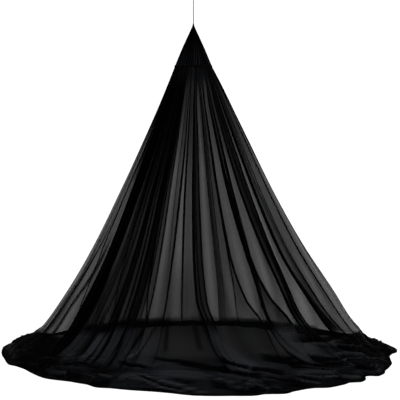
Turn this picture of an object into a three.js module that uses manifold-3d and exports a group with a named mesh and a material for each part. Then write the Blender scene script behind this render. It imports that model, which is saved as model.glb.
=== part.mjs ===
// Hanging mosquito net with its hoop: a tall cone of sheer netting that hangs from one point
// and spreads over the floor. Millimetres, +Z up. The origin is the top of the cord's loop,
// where a ceiling hook holds the whole net, so everything else lies below it.
import * as THREE from 'three';
import { mergeVertices } from 'three/addons/utils/BufferGeometryUtils.js';
import Module from 'manifold-3d';

const wasm = await Module();
wasm.setup();

// ---------------------------------------------------------------- driving dimensions
// Every height here is above the floor that the net's skirt lies on.
const HANG_HEIGHT = 2752;       // top of the cord's loop, the part's origin
const TIP_HEIGHT = 2500;        // top of the bound tip that the cord leaves
const HOOP_HEIGHT = 2180;       // middle of the hoop
const HOOP_RADIUS = 138;        // hoop, to the middle of its rod

const SHEET = 1.2;              // thickness of every netting sheet
const SHARPEST_MITRE = 4;       // how far a fold's corner may stand out, in thicknesses
const GAP = 0.35;               // between a piece and what it is sewn or tied to

const CORD_RADIUS = 3;
const CORD_SIDES = 8;
const KNOT_RADIUS = 9;          // knot that closes the hanging loop
const KNOT_HEIGHT = 2699;       // middle of that knot
const LOOP_WIDTH = 30;          // hanging loop, across the outside

const TIP_RADIUS = 8;           // bound tip, at its widest
const TIP_LENGTH = 30;          // bound tip, along the cord
const ROD_RADIUS = 4;           // the hoop's rod
const CASING_BORE = 5;          // room for the rod inside its sewn casing
const CASING_SLIT = 60;         // degrees of the casing left open, towards the net's middle
const CASING_HALF_HEIGHT = CASING_BORE + SHEET;
const EDGE_TILT = 0.25;         // share of a sloping sheet's thickness that its edge hangs lower

// The net's own top edge, sewn up against the underside of the casing.
const HEADING_HEIGHT = HOOP_HEIGHT - CASING_HALF_HEIGHT - GAP - SHEET * EDGE_TILT;

const RING_COLUMNS = 36;        // steps round the hoop, its casing and the top cone
const CONE_GATHER = 2.5;        // how far the top cone's gathers stand in and out
const WIDE_STRIP = 5;           // degrees between folds that call for a column in between

// A fold's edge stands off the cloth and lies over sideways by these shares of its take.
const FOLD_STAND = 0.44;
const FOLD_LIE = 0.88;

// The netting between folds, from the hoop down to the hem. height and radius give its outline;
// take is the share of each fold's own take; billow lifts the cloth between two folds; uneven is
// the share of the hem's own outline; sweep is the share of each fold's own sweep; drift is how
// far the outline's middle hangs to +X of the cord.
const SECTIONS = [
  { height: HEADING_HEIGHT, radius: HOOP_RADIUS, take: 0.03, billow: 0, uneven: 0.0, sweep: 0.0, drift: 0 },
  { height: 2040, radius: 198, take: 0.12, billow: 1, uneven: 0.0, sweep: 0.0, drift: 9 },
  { height: 1860, radius: 276, take: 0.38, billow: 2, uneven: 0.0, sweep: 0.0, drift: 15 },
  { height: 1600, radius: 394, take: 0.68, billow: 2, uneven: 0.0, sweep: 0.0, drift: 20 },
  { height: 1250, radius: 558, take: 0.90, billow: 2, uneven: 0.0, sweep: 0.0, drift: 23 },
  { height: 850, radius: 764, take: 1.00, billow: 3, uneven: 0.0, sweep: 0.02, drift: 32 },
  { height: 480, radius: 982, take: 1.00, billow: 3, uneven: 0.1, sweep: 0.18, drift: 45 },
  { height: 265, radius: 1130, take: 0.96, billow: 4, uneven: 0.5, sweep: 0.34, drift: 47 },
  { height: 128, radius: 1285, take: 0.92, billow: 12, uneven: 0.75, sweep: 0.5, drift: 46 },
  { height: 50, radius: 1420, take: 0.88, billow: 20, uneven: 0.9, sweep: 0.72, drift: 46 },
  { height: 12, radius: 1478, take: 0.80, billow: 16, uneven: 0.97, sweep: 0.88, drift: 46 },
  { height: 0.9, radius: 1500, take: 0.60, billow: 8, uneven: 1.0, sweep: 1.0, drift: 46 },
];

// How far the hem reaches, round the floor: 0 degrees is the front (-Y), 90 is +X.
const HEM = [
  { at: -90, reach: 1515 },
  { at: -77, reach: 1475 },
  { at: -66, reach: 1440 },
  { at: -57, reach: 1420 },
  { at: -42, reach: 1375 },
  { at: -22, reach: 1382 },
  { at: -9, reach: 1427 },
  { at: 8, reach: 1510 },
  { at: 22, reach: 1523 },
  { at: 29, reach: 1475 },
  { at: 39, reach: 1500 },
  { at: 47, reach: 1528 },
  { at: 53, reach: 1475 },
  { at: 59, reach: 1510 },
  { at: 66, reach: 1482 },
  { at: 76, reach: 1455 },
  { at: 84, reach: 1443 },
  { at: 93, reach: 1530 },
  { at: 125, reach: 1450 },
  { at: 160, reach: 1405 },
  { at: 200, reach: 1390 },
  { at: 235, reach: 1440 },
];

// The main folds, round the net. at is where a fold springs from, in degrees; take is how deep
// it is in millimetres where the net is fullest; pinch is the width it springs from, in degrees;
// sweep is how far it has wandered by the hem, in degrees.
const FOLDS = [
  { at: -84, take: 24, pinch: 2.2, sweep: -2 },
  { at: -70, take: 58, pinch: 2.2, sweep: -3 },
  { at: -63, take: 30, pinch: 1.8, sweep: -3 },
  { at: -57, take: 78, pinch: 1.7, sweep: -1.6 },
  { at: -53.4, take: 82, pinch: 1.7, sweep: -1.2 },
  { at: -49.8, take: 76, pinch: 1.7, sweep: -0.8 },
  { at: -43.5, take: 42, pinch: 1.6, sweep: -0.4 },
  { at: -38.8, take: 36, pinch: 1.6, sweep: 0 },
  { at: -34.2, take: 40, pinch: 1.6, sweep: 0.2 },
  { at: -29.6, take: 58, pinch: 1.5, sweep: 0.5 },
  { at: -26.2, take: 46, pinch: 1.5, sweep: 0.8 },
  { at: -20.6, take: 20, pinch: 1.4, sweep: 1.6 },
  { at: -14.6, take: 20, pinch: 1.4, sweep: 3 },
  { at: -8.6, take: 18, pinch: 1.4, sweep: 4.5 },
  { at: -3.8, take: 34, pinch: 1.4, sweep: 9 },
  { at: -0.6, take: 26, pinch: 1.4, sweep: 14.5 },
  { at: 8.6, take: 36, pinch: 1.8, sweep: 11.5 },
  { at: 15, take: 24, pinch: 1.5, sweep: 10 },
  { at: 22.4, take: 24, pinch: 1.5, sweep: 8.5 },
  { at: 26.4, take: 26, pinch: 1.5, sweep: 8.5 },
  { at: 32, take: 26, pinch: 1.5, sweep: 8 },
  { at: 36.2, take: 58, pinch: 1.5, sweep: 7 },
  { at: 39.8, take: 52, pinch: 1.5, sweep: 6.2 },
  { at: 49, take: 34, pinch: 1.6, sweep: 4 },
  { at: 53.4, take: 50, pinch: 1.8, sweep: 3.5 },
  { at: 60, take: 24, pinch: 1.5, sweep: 2.5 },
  { at: 68, take: 28, pinch: 1.6, sweep: 1.5 },
  { at: 79, take: 26, pinch: 2, sweep: 0.5 },
  { at: 88, take: 22, pinch: 2.2, sweep: 0 },
  { at: 99, take: 24, pinch: 2, sweep: 1 },
  { at: 112, take: 46, pinch: 2, sweep: -1 },
  { at: 127, take: 30, pinch: 2, sweep: 2 },
  { at: 134, take: 44, pinch: 1.8, sweep: 1 },
  { at: 147, take: 22, pinch: 1.8, sweep: -1 },
  { at: 162, take: 38, pinch: 1.8, sweep: -7 },
  { at: 173, take: 26, pinch: 2, sweep: -3 },
  { at: 188, take: 34, pinch: 1.8, sweep: 0 },
  { at: 205, take: 42, pinch: 1.8, sweep: 2 },
  { at: 217, take: 24, pinch: 2, sweep: -1 },
  { at: 228, take: 44, pinch: 1.8, sweep: 0 },
  { at: 240, take: 26, pinch: 2, sweep: 1 },
  { at: 252, take: 40, pinch: 2, sweep: -2 },
  { at: 264, take: 24, pinch: 2.2, sweep: -1 },
];

// ---------------------------------------------------------------- materials
const NETTING = new THREE.MeshStandardMaterial({ color: 0x0c0d10, roughness: 0.8, metalness: 0 });
const BINDING = new THREE.MeshStandardMaterial({ color: 0x08080a, roughness: 0.85, metalness: 0 });
const CORD = new THREE.MeshStandardMaterial({ color: 0x1c1c1f, roughness: 0.7, metalness: 0 });
const ROD = new THREE.MeshStandardMaterial({ color: 0x16161a, roughness: 0.45, metalness: 0.1 });

// ---------------------------------------------------------------- helpers
const FULL_TURN = 360;
const radians = (degrees) => THREE.MathUtils.degToRad(degrees);
const aboveOrigin = (height) => height - HANG_HEIGHT;

// A point at this angle round the cord's line, counted from the front towards +X.
function around(degrees, radius, height) {
  const angle = radians(degrees);
  return new THREE.Vector3(radius * Math.sin(angle), -radius * Math.cos(angle), height);
}

// The value a table gives at this angle, run straight from row to row and round to the first.
function roundTable(rows, key, degrees) {
  const first = rows[0].at;
  const angle = THREE.MathUtils.euclideanModulo(degrees - first, FULL_TURN) + first;
  let low = rows[rows.length - 1];
  let high = { ...rows[0], at: first + FULL_TURN };
  for (let i = 0; i < rows.length - 1; i += 1) {
    if (angle >= rows[i].at && angle < rows[i + 1].at) {
      [low, high] = [rows[i], rows[i + 1]];
    }
  }
  const share = (angle - low.at) / (high.at - low.at);
  return THREE.MathUtils.lerp(low[key], high[key], share);
}

// A closed solid from a grid of { point, facing } on a sheet's middle: rows run downwards and
// columns run round. Each face lies half a thickness off, along facing; both edges are closed.
// Where the cloth turns back over itself its cells are split along their other diagonal, so
// that layers which lie close together bend the same way.
function sheetSolid(grid) {
  const rows = grid.length;
  const columns = grid[0].length;
  const positions = [];
  for (const side of [0.5, -0.5]) {
    for (let i = 0; i < rows; i += 1) {
      for (const { point, facing } of grid[i]) {
        positions.push(...point.clone().addScaledVector(facing, side * SHEET));
      }
    }
  }
  const outer = (i, j) => i * columns + (j % columns);
  const inner = (i, j) => rows * columns + outer(i, j);
  const quad = (a, b, c, d) => [a, b, c, a, c, d];
  const index = [];
  for (let j = 0; j < columns; j += 1) {
    for (let i = 0; i < rows - 1; i += 1) {
      const corners = [[i + 1, j], [i + 1, j + 1], [i, j + 1], [i, j]];
      if (grid[i][j].turnsBack) corners.unshift(corners.pop());
      const [a, b, c, d] = corners;
      index.push(...quad(outer(...a), outer(...b), outer(...c), outer(...d)));
      index.push(...quad(inner(...a), inner(...d), inner(...c), inner(...b)));
    }
    const last = rows - 1;
    index.push(...quad(outer(0, j), outer(0, j + 1), inner(0, j + 1), inner(0, j)));
    index.push(...quad(inner(last, j), inner(last, j + 1), outer(last, j + 1), outer(last, j)));
  }
  const geometry = new THREE.BufferGeometry();
  geometry.setAttribute('position', new THREE.Float32BufferAttribute(positions, 3));
  geometry.setIndex(index);
  return geometry;
}

// A ring or plug from an outline of [radius, height] pairs, standing on +Z.
function turned(outline, columns = RING_COLUMNS) {
  const points = outline.map(([radius, height]) => new THREE.Vector2(radius, height));
  const geometry = new THREE.LatheGeometry(points, columns);
  return geometry.rotateX(Math.PI / 2);
}

function toManifold(geometry) {
  const bare = geometry.clone();
  bare.deleteAttribute('normal');
  bare.deleteAttribute('uv');
  const merged = mergeVertices(bare, 1e-3);
  return new wasm.Manifold(new wasm.Mesh({
    numProp: 3,
    vertProperties: Float32Array.from(merged.attributes.position.array),
    triVerts: Uint32Array.from(merged.index.array),
  }));
}

function fromManifold(solid) {
  const mesh = solid.getMesh();
  const geometry = new THREE.BufferGeometry();
  geometry.setAttribute('position', new THREE.BufferAttribute(mesh.vertProperties, 3));
  geometry.setIndex(new THREE.BufferAttribute(mesh.triVerts, 1));
  return geometry;
}

// ---------------------------------------------------------------- the cord and its loop
// The cord's end turned back on itself and knotted, so that it hangs on a hook.
function hangingLoop() {
  const ringRadius = LOOP_WIDTH / 2 - CORD_RADIUS;
  const loopBottom = KNOT_HEIGHT + KNOT_RADIUS / 2;
  const stretch = (HANG_HEIGHT - loopBottom) / LOOP_WIDTH;
  const ring = new THREE.TorusGeometry(ringRadius, CORD_RADIUS, CORD_SIDES, 24);
  ring.scale(1, stretch, 1).rotateX(Math.PI / 2);
  ring.translate(0, 0, aboveOrigin((HANG_HEIGHT + loopBottom) / 2));
  const knot = new THREE.SphereGeometry(KNOT_RADIUS, 12, 8);
  knot.rotateX(Math.PI / 2).translate(0, 0, aboveOrigin(KNOT_HEIGHT));
  return fromManifold(toManifold(ring).add(toManifold(knot)));
}

// The straight run of cord between the bound tip and the knot, drawn taut by the net's weight.
function hangingCord() {
  const bottom = TIP_HEIGHT + GAP;
  const top = KNOT_HEIGHT - KNOT_RADIUS - GAP;
  const section = new THREE.Shape();
  section.absarc(0, 0, CORD_RADIUS, 0, 2 * Math.PI);
  const run = new THREE.LineCurve3(
    new THREE.Vector3(0, 0, aboveOrigin(bottom)),
    new THREE.Vector3(0, 0, aboveOrigin(top)),
  );
  const steps = Math.round((top - bottom) / (5 * CORD_RADIUS));
  return new THREE.ExtrudeGeometry(section, { steps, extrudePath: run, curveSegments: CORD_SIDES / 2 });
}

// The tip of the cone, wound and sewn round the end of the cord.
function boundTip() {
  const top = aboveOrigin(TIP_HEIGHT);
  const bottom = top - TIP_LENGTH;
  return turned([
    [0, bottom],
    [TIP_RADIUS * 0.9, bottom],
    [TIP_RADIUS, bottom + TIP_LENGTH * 0.3],
    [TIP_RADIUS * 0.7, top - TIP_LENGTH * 0.15],
    [CORD_RADIUS * 1.3, top],
    [0, top],
  ], 16);
}

// ---------------------------------------------------------------- the hoop and its casing
// The springy rod that holds the cone open.
function hoop() {
  const ring = new THREE.TorusGeometry(HOOP_RADIUS, ROD_RADIUS, CORD_SIDES, RING_COLUMNS);
  return ring.translate(0, 0, aboveOrigin(HOOP_HEIGHT));
}

// The narrow tube of netting that the rod is threaded through: an open ring in section, its
// slit facing the middle of the net.
function hoopCasing() {
  const segments = 5;
  const half = radians((FULL_TURN - CASING_SLIT) / 2);
  const arc = (radius, from, to) => Array.from({ length: segments + 1 }, (_, i) => {
    const angle = THREE.MathUtils.lerp(from, to, i / segments);
    return [
      HOOP_RADIUS + radius * Math.cos(angle),
      aboveOrigin(HOOP_HEIGHT) + radius * Math.sin(angle),
    ];
  });
  const outline = [...arc(CASING_BORE + SHEET, -half, half), ...arc(CASING_BORE, half, -half)];
  return turned([...outline, outline[0]]);
}

// ---------------------------------------------------------------- the netting
// One row of a sheet's grid. The outline runs down and outwards along run, with this radius and
// height; each column is { along, out }: how far round the outline it lies, in millimetres, and
// how far off it. Thickness faces square to the cloth on both sides of a column, which keeps
// the two faces of a sharp fold apart.
function sheetRow({ radius, height, run, drift }, columns) {
  const fullRound = 2 * Math.PI * radius;
  const flat = columns.map(({ along, out }) => new THREE.Vector2(along, out));
  const count = flat.length;
  const squareTo = (from, to) => {
    const step = to.clone().sub(from).normalize();
    return new THREE.Vector2(-step.y, step.x);
  };
  return flat.map((here, j) => {
    const before = flat[(j + count - 1) % count].clone();
    const after = flat[(j + 1) % count].clone();
    before.x -= j === 0 ? fullRound : 0;
    after.x += j === count - 1 ? fullRound : 0;
    const side = squareTo(before, here);
    const square = squareTo(here, after).add(side).normalize();
    square.divideScalar(Math.max(square.dot(side), 1 / SHARPEST_MITRE));
    const degrees = THREE.MathUtils.radToDeg(here.x / radius);
    const outwards = around(degrees, -run.y, run.x);
    const sideways = around(degrees + 90, 1, 0);
    const point = around(degrees, radius, aboveOrigin(height)).addScaledVector(outwards, here.y);
    const facing = outwards.multiplyScalar(square.y).addScaledVector(sideways, square.x);
    return { point: point.setX(point.x + drift), facing, turnsBack: columns[j].turnsBack };
  });
}

// The small cone above the hoop, in shallow gathers that run up to the bound tip.
function topCone() {
  const bottom = HOOP_HEIGHT + CASING_HALF_HEIGHT + GAP + SHEET * EDGE_TILT;
  const top = TIP_HEIGHT - TIP_LENGTH * 0.7;
  const topRadius = TIP_RADIUS + GAP + SHEET / 2;
  const run = new THREE.Vector2(HOOP_RADIUS - topRadius, bottom - top).normalize();
  const steps = 2;
  return sheetSolid(Array.from({ length: steps + 1 }, (_, i) => {
    const down = i / steps;
    const radius = THREE.MathUtils.lerp(topRadius, HOOP_RADIUS, down);
    const height = THREE.MathUtils.lerp(top, bottom, down);
    const columns = Array.from({ length: RING_COLUMNS }, (__, j) => ({
      along: (2 * Math.PI * radius * j) / RING_COLUMNS,
      out: (j % 2 ? -1 : 1) * CONE_GATHER * Math.sin(Math.PI * down),
    }));
    return sheetRow({ radius, height, run, drift: 0 }, columns);
  }));
}

// Where the net's columns spring from, round one section: each fold is a narrow ridge of three
// columns, and a wide strip between two folds has one more in its middle. crest is how deep the
// fold is there, foot how far its ridge reaches in degrees, and strip is 1 in mid-strip.
function columnsAt(section) {
  const columns = [];
  FOLDS.forEach((fold, i) => {
    const next = FOLDS[i + 1] ?? { ...FOLDS[0], at: FOLDS[0].at + FULL_TURN };
    const here = fold.at + fold.sweep * section.sweep;
    const foot = fold.pinch / 2;
    const start = here - foot;
    const end = here + foot;
    const nextStart = next.at + next.sweep * section.sweep - next.pinch / 2;
    columns.push({ at: start, crest: 0, foot, strip: 0 });
    columns.push({ at: here, crest: fold.take * section.take, foot, strip: 0 });
    columns.push({ at: end, crest: 0, foot, strip: 0 });
    if (next.at - fold.at > WIDE_STRIP) {
      columns.push({ at: (end + nextStart) / 2, crest: 0, foot, strip: 1 });
    }
  });
  return columns;
}

// The long net from under the casing to the hem: a cone that flares and lies on the floor.
// Every fold is a ridge across the cloth that is then laid over sideways, so that it covers
// the strip beside it, and no two folds can run through each other.
function netBody() {
  const last = SECTIONS.length - 1;
  return sheetSolid(SECTIONS.map((section, i) => {
    const above = SECTIONS[Math.max(i - 1, 0)];
    const below = SECTIONS[Math.min(i + 1, last)];
    const run = new THREE.Vector2(below.radius - above.radius, below.height - above.height);
    const outline = {
      height: section.height,
      radius: section.radius,
      run: run.normalize(),
      drift: section.drift,
    };
    const row = sheetRow(outline, columnsAt(section).map(({ at, crest, foot, strip }) => ({
      along: radians(at) * section.radius + FOLD_LIE * crest,
      out: FOLD_STAND * crest + section.billow * strip,
      turnsBack: FOLD_LIE * crest > radians(foot) * section.radius,
    })));
    for (const { point } of row) {
      const at = THREE.MathUtils.radToDeg(Math.atan2(point.x - outline.drift, -point.y));
      const reach = roundTable(HEM, 'reach', at) / SECTIONS[last].radius;
      const scale = THREE.MathUtils.lerp(1, reach, section.uneven);
      point.x = outline.drift + (point.x - outline.drift) * scale;
      point.y *= scale;
    }
    return row;
  }));
}

// ---------------------------------------------------------------- the object
const mosquitoNet = new THREE.Group();

function addPiece(name, geometry, material) {
  const piece = new THREE.Mesh(geometry, material);
  piece.name = name;
  mosquitoNet.add(piece);
}

addPiece('hanging_loop', hangingLoop(), CORD);
addPiece('hanging_cord', hangingCord(), CORD);
addPiece('bound_tip', boundTip(), BINDING);
addPiece('top_cone', topCone(), NETTING);
addPiece('hoop', hoop(), ROD);
addPiece('hoop_casing', hoopCasing(), BINDING);
addPiece('net_body', netBody(), NETTING);

export default mosquitoNet;
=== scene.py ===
# %% [markdown]
# # A hanging mosquito net
# The net is a tall cone of black netting. One thin cord holds it up by its tip, a small hoop
# keeps its top open, and its folds run down and spread over the floor. This lesson makes the
# fine cloth, the cord and the bindings that stand in the place of the frame's solids, and the
# finish of each. Lengths are in metres and +Z is up. The origin is the top of the cord's loop.

# %% Load the frame
import math

import bpy
import numpy as np
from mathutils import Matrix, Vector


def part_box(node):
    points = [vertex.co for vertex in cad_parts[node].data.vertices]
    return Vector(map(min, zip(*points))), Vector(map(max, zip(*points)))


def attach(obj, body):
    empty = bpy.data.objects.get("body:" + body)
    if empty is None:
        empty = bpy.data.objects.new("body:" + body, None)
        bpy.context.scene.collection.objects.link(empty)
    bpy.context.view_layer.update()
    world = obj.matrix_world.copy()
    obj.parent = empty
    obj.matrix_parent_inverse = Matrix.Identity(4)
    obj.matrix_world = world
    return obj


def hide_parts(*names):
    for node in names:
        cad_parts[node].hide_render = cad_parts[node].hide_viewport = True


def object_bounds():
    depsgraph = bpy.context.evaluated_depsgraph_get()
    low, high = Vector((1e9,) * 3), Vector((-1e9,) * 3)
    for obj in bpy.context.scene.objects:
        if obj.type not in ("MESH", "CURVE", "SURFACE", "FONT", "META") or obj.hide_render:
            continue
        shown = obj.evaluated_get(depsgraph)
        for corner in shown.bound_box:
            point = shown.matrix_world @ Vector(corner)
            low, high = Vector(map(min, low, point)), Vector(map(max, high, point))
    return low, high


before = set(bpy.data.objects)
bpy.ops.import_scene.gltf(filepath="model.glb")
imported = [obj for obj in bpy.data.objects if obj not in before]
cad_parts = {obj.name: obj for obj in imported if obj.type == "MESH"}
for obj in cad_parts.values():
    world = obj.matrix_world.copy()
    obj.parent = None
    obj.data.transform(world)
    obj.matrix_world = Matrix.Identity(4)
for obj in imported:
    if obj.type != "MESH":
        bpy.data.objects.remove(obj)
cad_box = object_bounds()
FLOOR = cad_box[0].z
print("frame nodes:", sorted(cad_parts), "floor at", round(FLOOR, 3))

# %% [markdown]
# ## The camera
# A long lens looks at the net from well back, at about the height of a tall person's head. So
# its outline stays true, and the round of its skirt shows as a flat ellipse.

# %% Camera
CAMERA_BACK, CAMERA_UP, CAMERA_RIGHT = 9.5, 1.8, 0.050
CAMERA_TILT = 3.815
LENS, SENSOR = 112.6, 36.0

lens = bpy.data.cameras.new("camera")
lens.lens, lens.sensor_width = LENS, SENSOR
lens.clip_end = 500
camera = bpy.data.objects.new("camera", lens)
camera.location = (CAMERA_RIGHT, -CAMERA_BACK, FLOOR + CAMERA_UP)
camera.rotation_euler = (math.radians(90 - CAMERA_TILT), 0, 0)
bpy.context.scene.collection.objects.link(camera)
bpy.context.scene.camera = camera
print("camera at", [round(c, 3) for c in camera.location])

# %% [markdown]
# ## Sizes that the frame gives
# A box round each solid says where the hoop, the heading, the tip and the cord are, which keeps
# this lesson in step with the solids.

# %% Sizes from the frame
hoop_low, hoop_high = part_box("hoop")
tip_low, tip_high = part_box("bound_tip")
cord_low, cord_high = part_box("hanging_cord")
loop_low, loop_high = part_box("hanging_loop")
casing_low, casing_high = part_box("hoop_casing")

ROD_RADIUS = (hoop_high.z - hoop_low.z) / 2
HOOP_RADIUS = hoop_high.x - ROD_RADIUS
HOOP_Z = (hoop_high.z + hoop_low.z) / 2
CASING_RADIUS = (casing_high.z - casing_low.z) / 2
CORD_RADIUS = cord_high.x
SEWN_IN = 0.004
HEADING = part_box("net_body")[1].z - FLOOR + SEWN_IN
print("hoop radius", round(HOOP_RADIUS, 4), "heading height", round(HEADING, 3))

# %% [markdown]
# ## Helpers for surfaces
# Each new piece is a grid of points worked out as whole arrays: rows run down the piece and
# columns run round it. One function turns such a grid into a mesh, with a map that says how
# far round and how far down each corner lies, which the finishes read.

# %% Turning a grid of points into a piece
def turn(degrees, radius, z):
    """Points at these angles round the cord's line, counted from the front (-Y) towards +X."""
    angle = np.radians(degrees)
    return np.stack([radius * np.sin(angle), -radius * np.cos(angle), z + 0 * angle], axis=-1)


def grid_faces(rows, columns):
    """Corner numbers of each face of a grid, whose last column meets its first."""
    i, j = np.meshgrid(np.arange(rows - 1), np.arange(columns), indexing="ij")
    k = (j + 1) % columns
    corners = [(i + 1) * columns + j, (i + 1) * columns + k, i * columns + k, i * columns + j]
    return np.stack(corners, axis=-1).reshape(-1, 4), i.ravel(), j.ravel()


def grid_piece(name, points, across=None, down=None, facts=None):
    """A piece from a (rows, columns, 3) grid. across and down are the map's own distances at
    each column and row, from 0 to 1, and facts are further values at every point."""
    rows, columns = points.shape[:2]
    faces, i, j = grid_faces(rows, columns)
    mesh = bpy.data.meshes.new(name)
    mesh.from_pydata(points.reshape(-1, 3).tolist(), [], faces.tolist())
    across = np.linspace(0, 1, columns + 1) if across is None else across
    down = np.linspace(0, 1, rows) if down is None else down
    u = np.stack([across[j], across[j + 1], across[j + 1], across[j]], axis=-1)
    v = 1 - np.stack([down[i + 1], down[i + 1], down[i], down[i]], axis=-1)
    chart = mesh.uv_layers.new(name="cloth")
    chart.data.foreach_set("uv", np.stack([u, v], axis=-1).astype(np.float32).ravel())
    for fact, values in (facts or {}).items():
        layer = mesh.attributes.new(fact, "FLOAT", "POINT")
        whole = np.broadcast_to(values, (rows, columns)).astype(np.float32)
        layer.data.foreach_set("value", whole.ravel())
    mesh.polygons.foreach_set("use_smooth", np.ones(len(faces), dtype=bool))
    mesh.update()
    piece = bpy.data.objects.new(name, mesh)
    bpy.context.scene.collection.objects.link(piece)
    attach(piece, "root")
    print(f"{name}: {rows} x {columns} points, {2 * len(faces)} triangles")
    return piece


# %% [markdown]
# ## Helpers for numbers
# Three curves do most of the work: `eased` runs smoothly through a short table, `ramp` rises
# from 0 to 1 between two values, and `bell` is 1 at its middle and dies away on both sides.

# %% Curves
def eased(knots, values, at):
    """A smooth curve of cubics through values at knots. Its slope at a knot is the harmonic
    mean of the straight slopes on each side, so it never swings past the values."""
    knots, values = np.asarray(knots, float), np.asarray(values, float)
    gap = np.diff(knots)
    slope = np.diff(values) / gap
    same_way = slope[1:] * slope[:-1] > 0
    both = np.where(same_way, slope[1:] + slope[:-1], 1)
    mean = np.where(same_way, 2 * slope[1:] * slope[:-1] / both, 0)
    lean = np.concatenate([slope[:1], mean, slope[-1:]])
    i = np.clip(np.searchsorted(knots, at, side="right") - 1, 0, len(gap) - 1)
    t = np.clip((at - knots[i]) / gap[i], 0, 1)
    low = values[i] * (2 * t**3 - 3 * t**2 + 1) + gap[i] * lean[i] * (t**3 - 2 * t**2 + t)
    high = values[i + 1] * (3 * t**2 - 2 * t**3) + gap[i] * lean[i + 1] * (t**3 - t**2)
    return low + high


def round_eased(at, values, degrees):
    """The same curve carried round the net, so that its end meets its start."""
    at, values = np.asarray(at, float), np.asarray(values, float)
    knots = np.concatenate([at - 360, at, at + 360])
    return eased(knots, np.tile(values, 3), (np.asarray(degrees) + 180) % 360 - 180)


def ramp(low, high, values):
    """0 at low, 1 at high, and an even S between them."""
    t = np.clip((values - low) / (high - low), 0, 1)
    return t * t * (3 - 2 * t)


def bell(middle, half, values):
    """1 at the middle, about a third at half to either side, and nearly 0 at twice that."""
    return np.exp(-((values - middle) / half) ** 2)


def column(values):
    """One value for each row of a grid."""
    return values[:, None]


# %% [markdown]
# ## The netting's outline
# The long netting hangs nearly straight from the hoop, then flares and lies on the floor. A
# short table gives its outline at a few heights, and `eased` runs a smooth curve through them.
# Take, uneven and sweep are the shares of fold depth, hem and wandering at that height.
# Rows of the grid lie closer together near the floor, where the cloth bends most.

# %% Outline of the netting
SECTIONS = np.array([
    # height, radius, take, billow, uneven, sweep, drift, height at the back
    (HEADING, HOOP_RADIUS, 0.03, 0, 0, 0, 0, HEADING),
    (2.04, 0.201, 0.26, 0.001, 0, 0, 0.009, 2.04),
    (1.86, 0.281, 0.44, 0.002, 0, 0, 0.016, 1.86),
    (1.6, 0.402, 0.66, 0.003, 0, 0, 0.022, 1.6),
    (1.25, 0.57, 0.86, 0.004, 0, 0, 0.027, 1.25),
    (0.85, 0.779, 1, 0.006, 0, 0.01, 0.04, 0.825),
    (0.48, 1.016, 1, 0.008, 0.1, 0.08, 0.055, 0.3),
    (0.265, 1.17, 0.8, 0.01, 0.5, 0.24, 0.055, 0.018),
    (0.128, 1.3, 0.42, 0.01, 0.75, 0.56, 0.05, 0.016),
    (0.05, 1.428, 0.2, 0.008, 0.9, 0.8, 0.046, 0.01),
    (0.012, 1.48, 0.12, 0.005, 0.97, 0.92, 0.046, 0.007),
    (0.003, 1.5, 0.08, 0.002, 1, 1, 0.046, 0.003),
])
WALL_ROWS, SKIRT_ROWS, SKIRT_DEEP = 34, 100, 0.42

slant = np.concatenate([[0], np.cumsum(np.hypot(*np.diff(SECTIONS[:, :2], axis=0).T))])
CLOTH_LENGTH = slant[-1]
skirt_top = CLOTH_LENGTH - SKIRT_DEEP
row_slant = np.append(np.linspace(0, skirt_top, WALL_ROWS, endpoint=False),
                      np.linspace(skirt_top, CLOTH_LENGTH, SKIRT_ROWS))
height, radius, take, billow, uneven, sweep, drift, back_height = (
    eased(slant, SECTIONS[:, k], row_slant) for k in range(SECTIONS.shape[1])
)
print("netting, heading to hem:", round(CLOTH_LENGTH, 3), "m")

# %% [markdown]
# ## The folds
# Cloth that is gathered into a small hoop falls in folds: those of the solid, drawn rounder. A
# row of this table says where a fold springs from, how deep and how wide its root is, how far
# it leans low on the wall and wanders by the hem. Its last three values are for the strip after
# it: how many layers thick it looks, how many more the gathers add at the hoop, and from which
# height. Each fold is raised off the cloth and pushed over sideways, so that three layers show
# as one dark line. That push is a shear, and a shear can't make two folds cross.

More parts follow.
